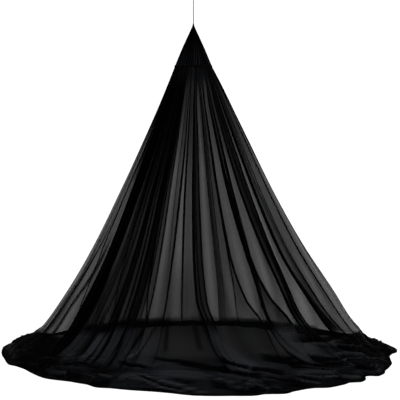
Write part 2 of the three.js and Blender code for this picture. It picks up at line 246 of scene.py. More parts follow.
# %% The main folds
FOLDS = np.array([
    # at, take, pinch, lean, wander, layers, gain, start
    (-84, 0.014, 1.4, 0, -1, 0.66, 1.6, 1.7), (-73, 0.024, 1.4, -1, -3, 0.95, 4, 1.62),
    (-66.6, 0.03, 1.2, -1, -4, 0.8, 6, 1.3), (-60.8, 0.062, 1.7, 5, -5, 3.8, 4, 0.9),
    (-55, 0.07, 1.7, 2.5, -6, 4.4, 4, 0.9), (-50.4, 0.06, 1.5, 1, -7, 3.4, 4, 0.9),
    (-46.6, 0.024, 1.1, -1, -8, 1.75, 2.2, 1.05), (-44.4, 0.034, 1.1, 0, -8, 2.3, 3, 1.05),
    (-41.4, 0.026, 1.1, 0, -8, 1.9, 2.3, 1.05), (-38.8, 0.036, 1.1, 0, -7, 1.8, 2.2, 1.05),
    (-36.2, 0.056, 1.4, 0, -7, 2.9, 3, 1.1), (-33.2, 0.028, 1.1, 0.8, -6, 1.75, 2.3, 1.05),
    (-31.2, 0.03, 1.1, 1, -6, 1.8, 2.2, 1.05), (-29, 0.056, 1.4, 0, -5, 2.7, 3.2, 1.05),
    (-25.8, 0.034, 1.2, 0.5, -5, 1.75, 2.3, 1.1), (-23.4, 0.026, 1, 0, -4, 1.35, 1.9, 1.2),
    (-21.2, 0.032, 1, 0.3, -4, 0.94, 0.9, 1.4), (-13.2, 0.04, 1.1, -2, -1, 0.9, 0.9, 1.3),
    (-4.4, 0.034, 1.1, 0.5, 19, 1.7, 0.6, 1.3), (-2.4, 0.026, 1, 0.3, 20, 1.75, 0.6, 1.3),
    (0.5, 0.026, 1, -0.4, 20, 0.95, 0.5, 1.4), (8.8, 0.016, 1, -0.8, 20, 1.05, 0.5, 1.4),
    (13.5, 0.03, 1, 0.8, 20, 0.88, 0.5, 1.4), (20.6, 0.038, 1.1, 4, 20, 1.5, 0.5, 1.4),
    (25, 0.034, 1.1, -0.6, 20, 0.86, 0.5, 1.4), (30.5, 0.028, 1, 5, 18, 2.05, 0.6, 1.2),
    (37.4, 0.018, 1, 3, 18, 2, 0.6, 1.2), (41.2, 0.032, 1.1, -1.2, 18, 0.66, 0.3, 1.4),
    (45.2, 0.04, 1.3, -0.8, 28, 1.45, 0.1, 1), (53, 0.012, 1, 0, 25, 1.15, 0.6, 1.3),
    (56.5, 0.017, 1.4, -3, 20, 0.88, 0.75, 1.3), (66, 0.024, 1.3, -3, 12, 0.74, 0.75, 1.4),
    (80, 0.01, 1.3, 0, 4, 0.74, 0.75, 1.4), (92, 0.012, 1.4, 0, 0, 0.82, 0.7, 1.4),
    (104, 0.016, 1.4, 0, -3, 0.92, 0.5, 1.4), (118, 0.024, 1.4, 0, -5, 0.96, 0.5, 1.4),
    (131, 0.026, 1.3, 0, -6, 0.95, 0.5, 1.4), (141, 0.02, 1.3, 0, -7, 0.92, 0.5, 1.4),
    (149.6, 0.03, 1.1, 0, -7, 0.92, 0.5, 1.4), (163, 0.036, 1.1, 0, -12, 0.95, 0.5, 1.4),
    (166.8, 0.022, 1, 1.5, -5, 1.65, 0.5, 1.4), (170.2, 0.026, 1, 0.5, -3, 0.93, 0.5, 1.4),
    (180, 0.01, 1, 0, -1, 0.93, 0.5, 1.4), (187.8, 0.034, 1.1, 0, 0, 0.92, 0.5, 1.4),
    (196, 0.014, 1.1, 0, 1, 0.92, 0.5, 1.4), (205, 0.026, 1.2, 0, 2, 0.95, 0.6, 1.4),
    (214, 0.016, 1.2, 0, 3, 1, 0.7, 1.4), (223, 0.026, 1.3, 0, 4, 0.95, 0.75, 1.4),
    (234, 0.018, 1.3, 0, 4, 0.95, 1, 1.4), (247, 0.024, 1.4, 0, 3, 0.9, 1.2, 1.4),
    (262, 0.012, 1.4, 0, 1, 0.8, 1.5, 1.45),
])
AT, TAKE, PINCH, LEAN, WANDER, LAYERS, GAIN, START = FOLDS.T
FOLD_STAND, FOLD_LIE = 0.44, 0.88
ROOT_HALF = 0.62
FIRST_FOLD = AT[0]
BEFORE_FIRST = 3.0


def fold_depth(degrees):
    """How far into its fold the cloth at each angle is: a cosine bump over the fold's narrow
    root, and nothing between the folds."""
    depth = np.zeros_like(degrees)
    for at, most, pinch in zip(AT, TAKE, PINCH):
        away = np.abs((degrees - at + 180) % 360 - 180) / (ROOT_HALF * pinch)
        depth += most * np.where(away < 1, 0.5 + 0.5 * np.cos(np.pi * np.minimum(away, 1)), 0)
    return depth


def strip_share(degrees):
    """1 in the middle of the plain strip between two folds and 0 at their roots."""
    starts = np.append(AT, AT[0] + 360)
    angle = (degrees - FIRST_FOLD) % 360 + FIRST_FOLD
    i = np.clip(np.searchsorted(starts, angle, side="right") - 1, 0, len(AT) - 1)
    return np.sin(np.pi * (angle - starts[i]) / (starts[i + 1] - starts[i])) ** 2


def stepped(values, degrees):
    """Each strip's own value, which gives way to the next strip's within the fold between."""
    angle = (degrees - FIRST_FOLD + BEFORE_FIRST) % 360 + FIRST_FOLD - BEFORE_FIRST
    level = np.full_like(angle, values[-1])
    for at, before, after in zip(AT, np.roll(values, 1), values):
        level += (after - before) * ramp(at - 0.5, at + 0.5, angle)
    return level


print("folds:", len(FOLDS))

# %% [markdown]
# ## Columns that follow the cloth's true length
# A fold takes up much more cloth than the angle it covers. At even angles the folds would be
# coarse and the plain strips needlessly fine, so the columns are spaced evenly along the cloth
# itself, where the net is fullest. A column's home bearing, called `base`, is where it starts.

# %% Columns
COLUMNS, FULLEST = 740, 0.85

fine = np.linspace(FIRST_FOLD - BEFORE_FIRST, FIRST_FOLD - BEFORE_FIRST + 360, 40001)
fullest_radius = np.interp(FULLEST, height[::-1], radius[::-1])
fine_depth = fold_depth(fine)
along = np.radians(fine) * fullest_radius + FOLD_LIE * fine_depth
steps = np.hypot(np.diff(along), FOLD_STAND * np.diff(fine_depth))
length = np.concatenate([[0], np.cumsum(steps)])
FULLEST_ROUND = length[-1]
column_share = np.linspace(0, 1, COLUMNS + 1)
base = np.interp(column_share[:-1] * FULLEST_ROUND, length, fine)
print("cloth round the net where it is fullest:", round(FULLEST_ROUND, 2), "m")

# %% [markdown]
# ## Ruckles on the floor
# The spare cloth on the floor ruckles in long soft waves, some radial and some lying across,
# which a sum of sines gives. It also lies over itself in low folds, like shingles.

# %% Ruckles of the skirt
def ruckles(degrees, down, seed, waves, most_round, most_down):
    """A sum of sine waves over the cloth, mostly between -1.5 and 1.5. Each has its own number
    of turns round the net and down it, and the finer waves are the weaker ones."""
    draw = np.random.default_rng(seed)
    total, weight = np.zeros(np.broadcast(degrees, down).shape), 0.0
    for _ in range(waves):
        turns = draw.integers(1, most_round)
        climb = draw.uniform(0.3, 1.0) * most_down * draw.choice([-1, 1])
        strength = 1 / (abs(climb) / most_down + turns / most_round)
        total += strength * np.sin(np.radians(degrees) * turns + climb * down + draw.uniform(0, 6.28))
        weight += strength**2
    return total / math.sqrt(weight)


def chance(number, seed):
    """A number between 0 and 1 for each whole number, with no pattern that the eye can find."""
    return np.modf(np.abs(np.sin(number * 12.9898 + seed) * 43758.5453))[0]


def overlaps(degrees, up, spacing, swing, still, seed):
    """Low folds that lie over each other like shingles, on lines that run out towards the hem
    on both sides of one still angle and fade out opposite it. Chance picks where each comes and
    goes. The answers are their height, 1 on the lip where it drops, which gets a painted
    highlight, and 1 in the dark below, which gets painted shade."""
    run_out = up + swing * (1 - np.cos(np.radians(degrees - still)))
    bends = ruckles(degrees, up, seed, waves=9, most_round=12, most_down=14)
    count = -run_out / spacing - 0.9 * bends
    line, place = np.floor(count), count % 1
    waxing = np.sin(np.radians(degrees) * (6 + 12 * chance(line, seed)) + 6.28 * chance(line, seed + 1))
    patches = ruckles(degrees, up, seed + 2, waves=7, most_round=30, most_down=9)
    waxing = ramp(-0.15, 0.75, waxing + 0.5 * patches)
    waxing *= 0.55 + 0.45 * chance(line, seed + 2)
    waxing *= ramp(180, 150, np.abs((degrees - still + 180) % 360 - 180))
    height = 1.25 * place * (1 - ramp(0.80, 1.0, place)) * waxing
    lip = ramp(0.52, 0.72, place) * ramp(0.88, 0.78, place) * waxing
    return height, lip, ramp(0.80, 0.90, place) * waxing


# %% [markdown]
# ## The creases that show
# The skirt's largest creases are seen one by one: long ridges with a painted highlight, and deep
# valleys with painted shade that stay black. They are set out as a maker lays the cloth: from one
# bearing to another, how far up from the hem each end lies, half its height, and whether it
# stands up or falls in.

# %% Large creases of the skirt
CREASES = np.array([
    # from, to in degrees; up at its start, up at its end, half its height in cm; stand
    (-84, -66, 7, 17, 1.6, 0.4), (-74, -68, 12, 23, 0.5, 0.5), (-65, -56, 8, 9, 1.2, 0.5),
    (-62, -50, 13, 19, 0.9, 0.7), (-53, -40, 8, 9, 1.1, 0.6), (-66, -54, 15, 21, 1, -0.8),
    (-80, -54, 3, 5, 1.2, -0.8), (-52, -35, 3, 7, 2, -1), (-52, -38, 13, 19, 1.4, -0.8),
    (-51, -27, 49, 53, 2.8, -0.9), (-35, -26, 12, 17, 1, -1), (-37, -30, 10, 9, 0.6, 0.6),
    (-31, -25, 13, 9, 1.2, 0.8), (-34, -25, 3, 6, 3, -1), (-44, -30, 19, 17, 1, -0.7),
    (-28, -15, 25, 23, 1.5, -1), (-25, -15, 10, 13, 3.2, 0.7), (-25, -20, 27, 36, 2, 0.9),
    (-22, 4, 17.2, 3, 0.8, 1.3), (-20, 3, 14.5, 1.2, 0.8, -1.2), (-19, 0, 12, 2, 0.8, 1.2),
    (-19, -5, 5, 4, 1.2, -1), (-15, 4, 16, 17, 4.5, 0.8), (-10, -1, 14, 9, 1, -0.9),
    (-17, -2, 32, 28, 1.2, -0.8), (-9, 10, 29, 23, 2.2, -1.2), (4, 18, 24, 14, 2.2, -1.2),
    (16, 30, 14, 7, 1, -1), (5, 15, 33, 23, 1.8, -1.1), (13, 25, 23, 16, 2.2, -1.2),
    (4, 23, 29, 13, 0.4, 0.7), (2, 17, 24, 8, 1.8, 0.6), (1, 11, 20, 8, 1, 0.9), (3, 8, 12, 8, 2.4, -0.9),
    (10, 22, 11, 6, 0.5, 0.9), (6, 24, 7, 3, 1.6, -0.9), (25, 47, 25, 14, 2.8, -1.2),
    (29, 46, 24, 12, 0.7, 0.8), (25, 43, 17, 10, 2.1, 0.8), (34, 41, 10, 8, 0.5, 1.3),
    (26, 36, 15, 8, 0.6, 1), (26, 34, 13, 8, 0.5, -0.8), (26, 34, 11, 6, 0.6, 1), (23, 31, 8, 4, 1, -0.9),
    (38, 43, 7, 5, 1, -0.8), (40, 52, 8, 3, 1.2, 1), (38, 59, 23, 17, 0.7, 1), (43, 63, 28, 18, 1.5, 1),
    (55, 76, 20, 2, 1, 0.9), (42, 57, 25, 18, 0.5, -0.9), (39, 47, 21, 19, 1.3, -1.2),
    (53, 73, 13, 5, 0.7, -0.9), (54, 68, 12, 3, 0.5, 0.9), (50, 61, 11, 6, 1.2, -1.2), (55, 63, 6, 2, 2, 1),
    (44, 57, 10, 5, 1.4, 0.6), (44, 67, 35, 25, 0.8, 0.9), (37, 50, 40, 32, 1.8, 0.8),
    (46, 88, 32, 6, 1.4, -1.2), (76, 89, 20, 5, 0.5, 0.7), (58, 80, 36, 12, 1.8, -1),
    (30, 58, 43, 37, 2, -1.1), (17, 31.5, 31.5, 26, 3.4, -0.85), (33, 47, 28.5, 19, 3.6, -1),
])
CREASES[:, 2:5] /= 100
TALLEST_CREASE, CREASE_STEEPNESS, CREASE_WAVER = 0.011, 0.8, 0.006


def large_creases(degrees, up):
    """How much each point stands up or falls in, with a painted highlight on a ridge that stands up
    and painted shade in a valley that falls in. A crease has full strength along its middle and
    fades at its ends and its two sides."""
    lift, pale, dark = (np.zeros(np.broadcast(degrees, up).shape) for _ in range(3))
    waver = CREASE_WAVER * ruckles(degrees, up, seed=21, waves=6, most_round=60, most_down=8)
    for first, last, low, high, half, stand in CREASES:
        along = (degrees - first) / (last - first)
        off = np.abs(up + waver - low - (high - low) * along) / half
        share = ramp(0, 0.25, along) * ramp(1, 0.8, along) * ramp(1.25, 0.6, off)
        lift += share * stand * min(TALLEST_CREASE, CREASE_STEEPNESS * half)
        # A ridge that stands up gets a painted highlight, and a valley that falls in gets painted shade.
        if stand > 0:
            pale = np.maximum(pale, share * stand)
        else:
            dark = np.maximum(dark, -share * stand)
    return lift, pale, dark


print("creases set by hand:", len(CREASES))

# %% [markdown]
# ## Strips that turn out over the skirt
# Low down, a plain strip between two folds turns out over the skirt, where it would catch the
# light, so it gets a painted highlight, and the fold at its left edge gets a dark line of painted
# shade. A row of this table gives the home bearings of its edges where it starts to turn and near
# the floor, the strength of its painted highlight and its line's darkness.

# %% Swept strips
SWEPT_STRIPS = np.array([
    # left, right, left near the floor, right near the floor, painted highlight, line's darkness
    (-3.9, -1.9, -3.4, 8, 0.46, 1), (21.4, 23.2, 17.8, 30, 0.52, 1),
    (-47.6, -41, -46.8, -40.5, 0.34, 0.5), (-39.2, -36.6, -39, -35.2, 0.66, 0.8),
    (-35.8, -34, -34.9, -33.6, 0.6, 1), (-33, -28.8, -33, -26.8, 0.34, 1),
    (-27.8, -22, -26.4, -23, 0.34, 1), (-20, -13.5, -22.6, -19.2, 0.3, 1),
    (-12.9, -10.8, -19, -12.5, 0.32, 0.8), (-10.8, -9, -10.8, -9, 0.03, 0.6),
    (-5.8, -5, -5.8, -5, 0.03, 0.55),
])
TURN_FROM, TURN_TO = 0.42, 0.18
STRIP_TOP, LINE_HALF, LINE_ASIDE = 0.325, 0.58, 0.35


def swept_strips(degrees, z):
    """How much painted highlight each point gets for lying on a strip, and 1 along the line of
    painted shade at its left edge. Towards the right the strips reach higher and the lines widen."""
    share, outline = (np.zeros(np.broadcast(degrees, z).shape) for _ in range(2))
    down = np.clip((TURN_FROM - z) / (TURN_FROM - TURN_TO), 0, 1)
    line_half = LINE_HALF + 0.27 * ramp(-12, -6, degrees)
    for left, right, low_left, low_right, painted_paleness, line in SWEPT_STRIPS:
        left_edge = left + (low_left - left) * down
        wide = right + (low_right - right) * down - left_edge
        place = (degrees - left_edge) / wide
        share += painted_paleness * ramp(-0.05, 0.25, place) * ramp(1.1, 0.6, place)
        away = np.abs(degrees - left_edge + LINE_ASIDE) / (line * line_half)
        fade = ramp(0.08, 0.13, z - 0.3 * (1 - line))
        outline = np.maximum(outline, line * ramp(1.0, 0.45, away) * fade)
    top = STRIP_TOP + 0.035 * ramp(-12, -5, degrees)
    share *= ramp(0.02, -0.03, z - top) * ramp(0.10, 0.15, z)
    return share, outline * ramp(0.45, 0.38, z)


print("swept strips:", len(SWEPT_STRIPS))

# %% [markdown]
# ## Which way each column runs
# A column leaves its home bearing on its way down. Low on the wall it leans, near the floor it
# wanders with its fold, and close under the hoop the back is twisted a little. Two short tables
# sway the folds in front and on the right, low on the wall and at its foot.

# %% Bearings of the columns
LEAN_FULL, LEAN_NONE = 0.45, 1.7
HOOP_TWIST, TWIST_MIDDLE, TWIST_HALF = 9.0, 192, 30
LOW_SWAY = np.array([
    # home bearing, degrees of sway
    (9, 0), (13.5, 1.8), (20.6, -2.6), (25, 3), (30.5, -1.2), (37.4, -3.4), (41.2, -2.4), (45.2, 1),
    (53, 0), (66, 0),
])
FOOT_SWAY = np.array([
    # home bearing, degrees of sway
    (-9, 0), (-4.4, 2.2), (-2.4, 2.2), (0.5, 1.6), (8.8, 0), (13.5, 3.2), (20.6, 0),
    (25, 3.2), (30.5, 0),
])

wander = round_eased(AT, WANDER, base)
lean = round_eased(AT, LEAN, base)
twist = HOOP_TWIST * bell(TWIST_MIDDLE, TWIST_HALF, (base + 180) % 360)
low_share = bell(0.43, 0.21, height)
foot_share = ramp(0.54, 0.37, height) * ramp(0.06, 0.31, height)
angle = base + column(sweep) * wander + column(1 - ramp(LEAN_FULL, LEAN_NONE, height)) * lean
angle += column(ramp(1.85, 2.25, height)) * twist
angle += column(low_share) * eased(*LOW_SWAY.T, base)
angle += column(foot_share) * eased(*FOOT_SWAY.T, base)
signed = (angle + 180) % 360 - 180
aside = np.abs(signed)
print("columns stray by", round(np.abs(angle - base).max(), 1), "degrees")

# %% [markdown]
# ## How high each point lies
# Behind, the wall comes down steeply and the skirt lies almost flat, and the wall is tucked in
# a little above the floor. The skirt is piled up higher at its left end than at its right.

# %% Heights
LEFT_RAISED, RIGHT_LOWERED, END_HALF, TUCK = 0.28, 0.16, 22, 0.08

behind = ramp(78, 125, aside)
z = column(height) + behind * column(back_height - height)
low_down = column(ramp(0.17, 0.07, height))
raised = LEFT_RAISED * bell(-90, END_HALF, signed) - RIGHT_LOWERED * bell(85, END_HALF, signed)
z = z * (1 + low_down * raised)
above_floor = column(ramp(0.60, 0.25, height) * (1 - ramp(0.12, 0.02, height)))
tucked = 1 - TUCK * ramp(100, 135, aside) * above_floor
print("heights up to", round(z.max(), 3), "m")

# %% [markdown]
# ## Waves across the cloth
# A point is lifted off the outline by its fold, the bulge of a plain strip, the gathers of the
# heading, slow waves of the wall, and the ruckles and creases of the skirt.

# %% Waves
GATHERS, GATHER_DEPTH = 97, 0.0022
WALL_WAVE, SOFT_WAVE, SHINGLE_A, SHINGLE_B = 0.005, 0.006, 0.014, 0.012
FRONT_SHINGLES = 0.25

depth = column(take) * fold_depth(base)[None, :]
strip = strip_share(base)
up_cloth = column(CLOTH_LENGTH - row_slant)
skirt = ramp(0.40, 0.28, up_cloth)
gathers = GATHER_DEPTH * column(ramp(0.95, HEADING, height)) * np.sin(np.radians(base) * GATHERS)
soft = ruckles(angle, up_cloth, seed=11, waves=12, most_round=18, most_down=20)
# Besides their heights, the shingles give the lips that get a painted highlight and the dark below them
# that gets painted shade.
shingle_a, edge_a, shingle_shade_a = overlaps(angle, up_cloth, spacing=0.050, swing=0.45, still=-32, seed=5)
shingle_b, edge_b, shingle_shade_b = overlaps(angle, up_cloth, spacing=0.074, swing=0.20, still=10, seed=9)
crease_lift, crease_highlight, crease_shade = large_creases(signed, up_cloth)
plain = FRONT_SHINGLES + (1 - FRONT_SHINGLES) * ramp(70, 105, aside)
shingles = plain * (SHINGLE_A * shingle_a + SHINGLE_B * shingle_b)
skirt_waves = skirt * (shingles + SOFT_WAVE * soft) + crease_lift
slow_waves = ruckles(angle, column(row_slant), seed=3, waves=14, most_round=34, most_down=2.2)
wall_waves = WALL_WAVE * column(ramp(HEADING, 1.5, height)) * slow_waves
out = FOLD_STAND * depth + column(billow) * strip[None, :] + gathers + skirt_waves + wall_waves
print("largest wave:", round(1000 * out.max()), "mm")

# %% [markdown]
# ## Out to the hem and down to the floor
# Each point moves off the outline along the cloth's outward direction and is pushed over with
# its fold. Then the skirt is stretched to the uneven hem of the table. What would sink into the
# floor is bent back up, and the last rows are pressed nearly flat.

# %% The netting's points
HEM = np.array([
    # bearing, reach from the cord's line
    (-112, 1.49), (-101, 1.55), (-90, 1.52), (-78, 1.48), (-70, 1.475), (-67, 1.44), (-61, 1.42),
    (-55, 1.43), (-48, 1.45), (-38, 1.4), (-33, 1.405), (-28, 1.445), (-24, 1.425), (-13, 1.435),
    (-8, 1.46), (-1, 1.52), (8, 1.54), (13, 1.565), (16, 1.54), (21, 1.57), (24, 1.53), (30, 1.5),
    (34, 1.545), (40, 1.53), (42, 1.515), (45, 1.555), (48, 1.53), (52, 1.47), (54, 1.54), (58, 1.53),
    (61, 1.5), (66, 1.49), (72, 1.48), (77, 1.455), (82, 1.44), (86, 1.46), (89, 1.505), (94, 1.53),
    (125, 1.46), (160, 1.445), (200, 1.44), (235, 1.45),
])
CLEAR_OF_FLOOR, BEND_SOFTNESS = 0.0015, 0.002
HEM_PRESSED = 0.93

run = np.stack([np.gradient(radius, row_slant), np.gradient(height, row_slant)], axis=-1)
run /= np.linalg.norm(run, axis=-1, keepdims=True)
turned = angle + np.degrees(FOLD_LIE * depth / column(radius))
outwards = turn(turned, column(-run[:, 1]), column(run[:, 0]))
points = turn(turned, column(radius) * tucked, z) + outwards * out[..., None]

bearing = np.degrees(np.arctan2(points[..., 0], -points[..., 1]))
reach = round_eased(*HEM.T, bearing) / SECTIONS[-1, 1]
stretch = 1 + column(uneven) * (reach - 1)
points[..., :2] *= stretch[..., None]
points[..., 0] += column(drift)
sunk = points[..., 2] - CLEAR_OF_FLOOR
points[..., 2] = CLEAR_OF_FLOOR + 0.5 * (sunk + np.sqrt(sunk**2 + BEND_SOFTNESS**2))
points[..., 2] *= column(1 - HEM_PRESSED * ramp(0.955, 0.995, row_slant / CLOTH_LENGTH))
points[..., 2] += FLOOR
print("hem at", HEM[:, 1].min(), "to", HEM[:, 1].max(), "m")

# %% [markdown]
# ## How dense the netting looks
# The big folds double the netting by their own shape, but the finest gathers are far smaller
# than any grid. So each point also carries a number called cover: how many layers thick the
# cloth looks there. It is about one in the plain strips, and several under the hoop, in the
# skirt and where the cloth is piled up at its two ends.

# %% Cover of the folds, the heading and the skirt
SKIRT_LAYERS, HOOP_LAYERS, PILE_LAYERS = 2.6, 1.0, 3.0
FOLD_SHADE = 0.32
# Height of the piled cloth at these degrees from the front
PILE_TOP = np.array([(0, 0.2), (66, 0.2), (90, 0.12), (110, 0.06), (140, 0.05), (180, 0.036)])

start = stepped(START, base)
crowding = np.clip((column(height) - start) / (HEADING - start), 0, 1)
on_floor = (1 - behind) * ramp(0.36, 0.25, up_cloth) + behind * ramp(0.055, 0.028, z)
cover = stepped(LAYERS, base) * (1 + FOLD_SHADE * (1 - strip)) + stepped(GAIN, base) * crowding
cover = cover + HOOP_LAYERS * column(ramp(2.02, HEADING, height)) + SKIRT_LAYERS * on_floor
cover += PILE_LAYERS * ramp(46, 58, aside) * ramp(1.15, 0.92, z / eased(*PILE_TOP.T, aside))
print("layers of netting: up to", round(cover.max(), 1))

# %% [markdown]
# ## Shades and thin lines of the wall
# Spare cloth that hangs behind a strip darkens it for part of its height: these shades are the
# first table. A small fold that lies flat shows as a thin line, which slips to the left on its
# way down. Last comes a wedge of spare cloth on the right, which widens towards its foot.

# %% Shades and thin lines
SHADES = np.array([
    # from, full from, full to, to, layers, top, full below, full above, foot
    (-51, -49.5, -46, -44.6, 3, 0.75, 0.5, 0.33, 0.29), (-21, -19, 20, 24, 0.042, 0.9, 0.55, 0.34, 0.28),
    (-21, -19, -4, 2, 0.098, 0.9, 0.55, 0.34, 0.28), (-13.4, -12.4, -8.6, -8, 0.2, 0.9, 0.55, 0.34, 0.28),
    (-8.6, -8, -4.6, -3.6, 0.28, 0.9, 0.55, 0.34, 0.28),
])
THIN_LINES = np.array([
    # at, layers, half width, widens by, slips by, slips from, slips to, top, full below
    (-67, 1.6, 0.7, 0, 5, 0.95, 0.28, 1.2, 1.12), (-71, 1.2, 0.5, 0, 5, 0.95, 0.28, 1.2, 1.12),
    (-62.3, 2.4, 0.45, 0, 2.6, 0.85, 0.3, 1, 0.75), (-67.2, 3, 0.5, 0.9, 2.6, 0.85, 0.3, 1.2, 0.8),
])
LINES_TOP, LINES_FULL = 1.10, 0.75
WEDGE_LEFT, WEDGE_LAYERS = 45.0, 2.4
WEDGE_WIDE = np.array([(0.38, 6.5), (0.60, 4.0), (0.90, 1.2)])  # height, degrees

for left, full_left, full_right, right, layers, top, full_top, full_foot, foot in SHADES:
    wide = ramp(left, full_left, base) * ramp(right, full_right, base)
    cover += layers * wide * ramp(top, full_top, z) * ramp(foot, full_foot, z)
for at, layers, half, widening, slip, slip_top, slip_foot, top, full_top in THIN_LINES:
    slipped = base + slip * ramp(slip_top, slip_foot, z)
    line = bell(at, half + widening * ramp(0.60, 0.30, z), slipped) * ramp(top, full_top, z)
    cover += layers * line * ramp(LINES_TOP, LINES_FULL, z)
wedge = (base - WEDGE_LEFT) / eased(*WEDGE_WIDE.T, z)
wedge_tall = ramp(0.95, 0.75, z) * ramp(0.27, 0.32, z)
cover += WEDGE_LAYERS * ramp(0, 0.12, wedge) * ramp(1.05, 0.70, wedge) * wedge_tall
print("shades:", len(SHADES), "lines:", len(THIN_LINES))

# %% [markdown]
# ## Where light and shade are painted on the netting
# Thread that faces the light looks grey and not black, so that light is painted into the colour:
# each point carries a number from 0 to 1 that turns the thread from black towards grey. It holds
# an even painted grey on the skirt and painted highlights on its soft waves, the shingles' lips,
# the swept strips and the large creases, and a painted band and glint on the threads just under
# the hoop. Painted shade takes it away under the shingles, in the folds and in the creases'
# valleys. The seams between the cloth's gores add a paler thread of their own.

# %% Painted light and seams
GORE, FIRST_SEAM = 30, 1.5
# The skirt's even grey and the paleness of its soft waves, the shingles' lips, the large creases, the band
# under the hoop and the front foot are painted highlight, and the threads' paleness there is a painted
# glint; only the seams' paleness is a paler thread.
EVEN_PAINTED_LIGHT, SOFT_HIGHLIGHT, LIP_HIGHLIGHT, SEAM_PALE = 0.145, 0.08, 0.40, 0.3
CREASE_HIGHLIGHT, RIM_HIGHLIGHT, FOOT_HIGHLIGHT, THREAD_GLINT = 0.52, 0.05, 0.10, 0.34
DARK_LAYERS, PALE_LAYERS, DEEP_FOLD = 1.6, 0.8, 0.025

seam = ramp(0.5, 0.2, np.abs((base - FIRST_SEAM + GORE / 2) % GORE - GORE / 2))
# Painted highlight on the shingles' lips and on the tops of the soft waves, and painted shade in the dark
# below the shingles.
lip_highlights = plain * np.maximum(edge_a, 0.8 * edge_b)
shingle_shade = plain * np.maximum(shingle_shade_a, shingle_shade_b)
seams_and_painted_light = np.clip(EVEN_PAINTED_LIGHT + SOFT_HIGHLIGHT * soft + LIP_HIGHLIGHT * lip_highlights + SEAM_PALE * seam, 0.01, 1)
seams_and_painted_light = skirt * seams_and_painted_light * (1 - 0.95 * shingle_shade)

# Painted shade in the deep folds low on the wall, less on the strip near bearing 22 low down.
painted_fold_shade = np.clip(fold_depth(base) / DEEP_FOLD, 0, 1) * ramp(0.13, 0.20, z)
painted_fold_shade = painted_fold_shade * (1 - 0.8 * bell(22, 6, base) * ramp(0.40, 0.30, z))
right_end = np.maximum(ramp(58, 68, signed), ramp(46, 56, signed) * ramp(0.10, 0.15, z))
ends = ramp(-46, -51, signed) + right_end
# The swept strips get a painted highlight, and the lines at their left edges get painted shade.
strip_highlight, strip_shade = swept_strips(base, z)
# Less painted light on the piled ends, in the deep folds and towards the left.
seams_and_painted_light = seams_and_painted_light * (1 - 0.95 * ends) * (1 - 0.85 * painted_fold_shade) * (1 - 0.4 * ramp(-20, -32, signed))
seams_and_painted_light += strip_highlight
# A painted highlight low on the front, where the cloth turns out towards the overhead sun.
seams_and_painted_light += FOOT_HIGHLIGHT * ramp(0.40, 0.30, z) * ramp(0.08, 0.14, z) * ramp(50, 40, aside)

# Painted shade in the creases' valleys and along the strips' edge lines, and a painted highlight on the
# creases' ridges. Both also add layers to the cover, which makes the valleys denser still.
crease_shade = np.maximum(crease_shade, strip_shade)
seams_and_painted_light = seams_and_painted_light * (1 - np.clip(1.2 * crease_shade, 0, 1))
seams_and_painted_light += CREASE_HIGHLIGHT * crease_highlight**2 * (1 - 0.35 * ends)
cover = cover + DARK_LAYERS * crease_shade + PALE_LAYERS * crease_highlight

# A painted highlight in a band just under the hoop, and a painted glint on single threads there, strongest
# on the front and the right.
lit_side = ramp(-55, -5, signed) * ramp(110, 60, signed)
shining = ramp(0.35, 1.5, ruckles(base, 0, seed=51, waves=18, most_round=170, most_down=1))
seams_and_painted_light += column(ramp(1.98, 2.14, height)) * (RIM_HIGHLIGHT + lit_side * (0.04 + THREAD_GLINT * shining))
seams_and_painted_light = np.clip(seams_and_painted_light, 0, 1) * column(1 - ramp(0.977, 0.992, row_slant / CLOTH_LENGTH))
print("mean crest of the skirt:", round(seams_and_painted_light[-SKIRT_ROWS:].mean(), 3))

# %% [markdown]
# ## The netting as one piece
# Two more numbers guide the finest lines of the skirt, which are painted highlight and painted
# shade: which way they lie and how much they show. They show in patches, and less at both ends
# and on the smooth strips at the left.

# %% Netting piece
lay = up_cloth + 0.35 * (1 - np.cos(np.radians(signed + 5)))
smooth_strips = 1 - 0.8 * ramp(0.13, 0.18, z) * ramp(-8, -16, signed)
patches = ramp(-0.6, 0.7, ruckles(signed, up_cloth, seed=31, waves=9, most_round=22, most_down=12))
painted_line_share = skirt * (1 - 0.6 * ends) * patches * smooth_strips

net_cloth = grid_piece("net_cloth", points, across=column_share, down=row_slant / CLOTH_LENGTH,
                       facts={"cover": cover, "gathered": column(ramp(1.1, 2.0, height)),
                              "seams_and_painted_light": seams_and_painted_light, "lay": lay, "painted_line_share": painted_line_share})
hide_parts("net_body")

# %% [markdown]
# ## The top cone
# Above the hoop a short cone of the same netting runs up to the tip, in close knife pleats that
# are a little irregular. It looks almost solid, because so much cloth is drawn into it. The
# pleats' outer edges get a patchy painted highlight low on the cone.

# %% Top cone
CONE_PLEATS, CONE_ROWS, CONE_COLUMNS = 44, 40, 1056
CONE_TIP, PLEAT_DEPTH, PLEAT_LIE, PLEAT_STAND = 0.0088, 0.010, 0.8, 0.35
CONE_LAYERS, FRONT_LAYERS, TIP_LAYERS = 3.0, 1.6, 3.0

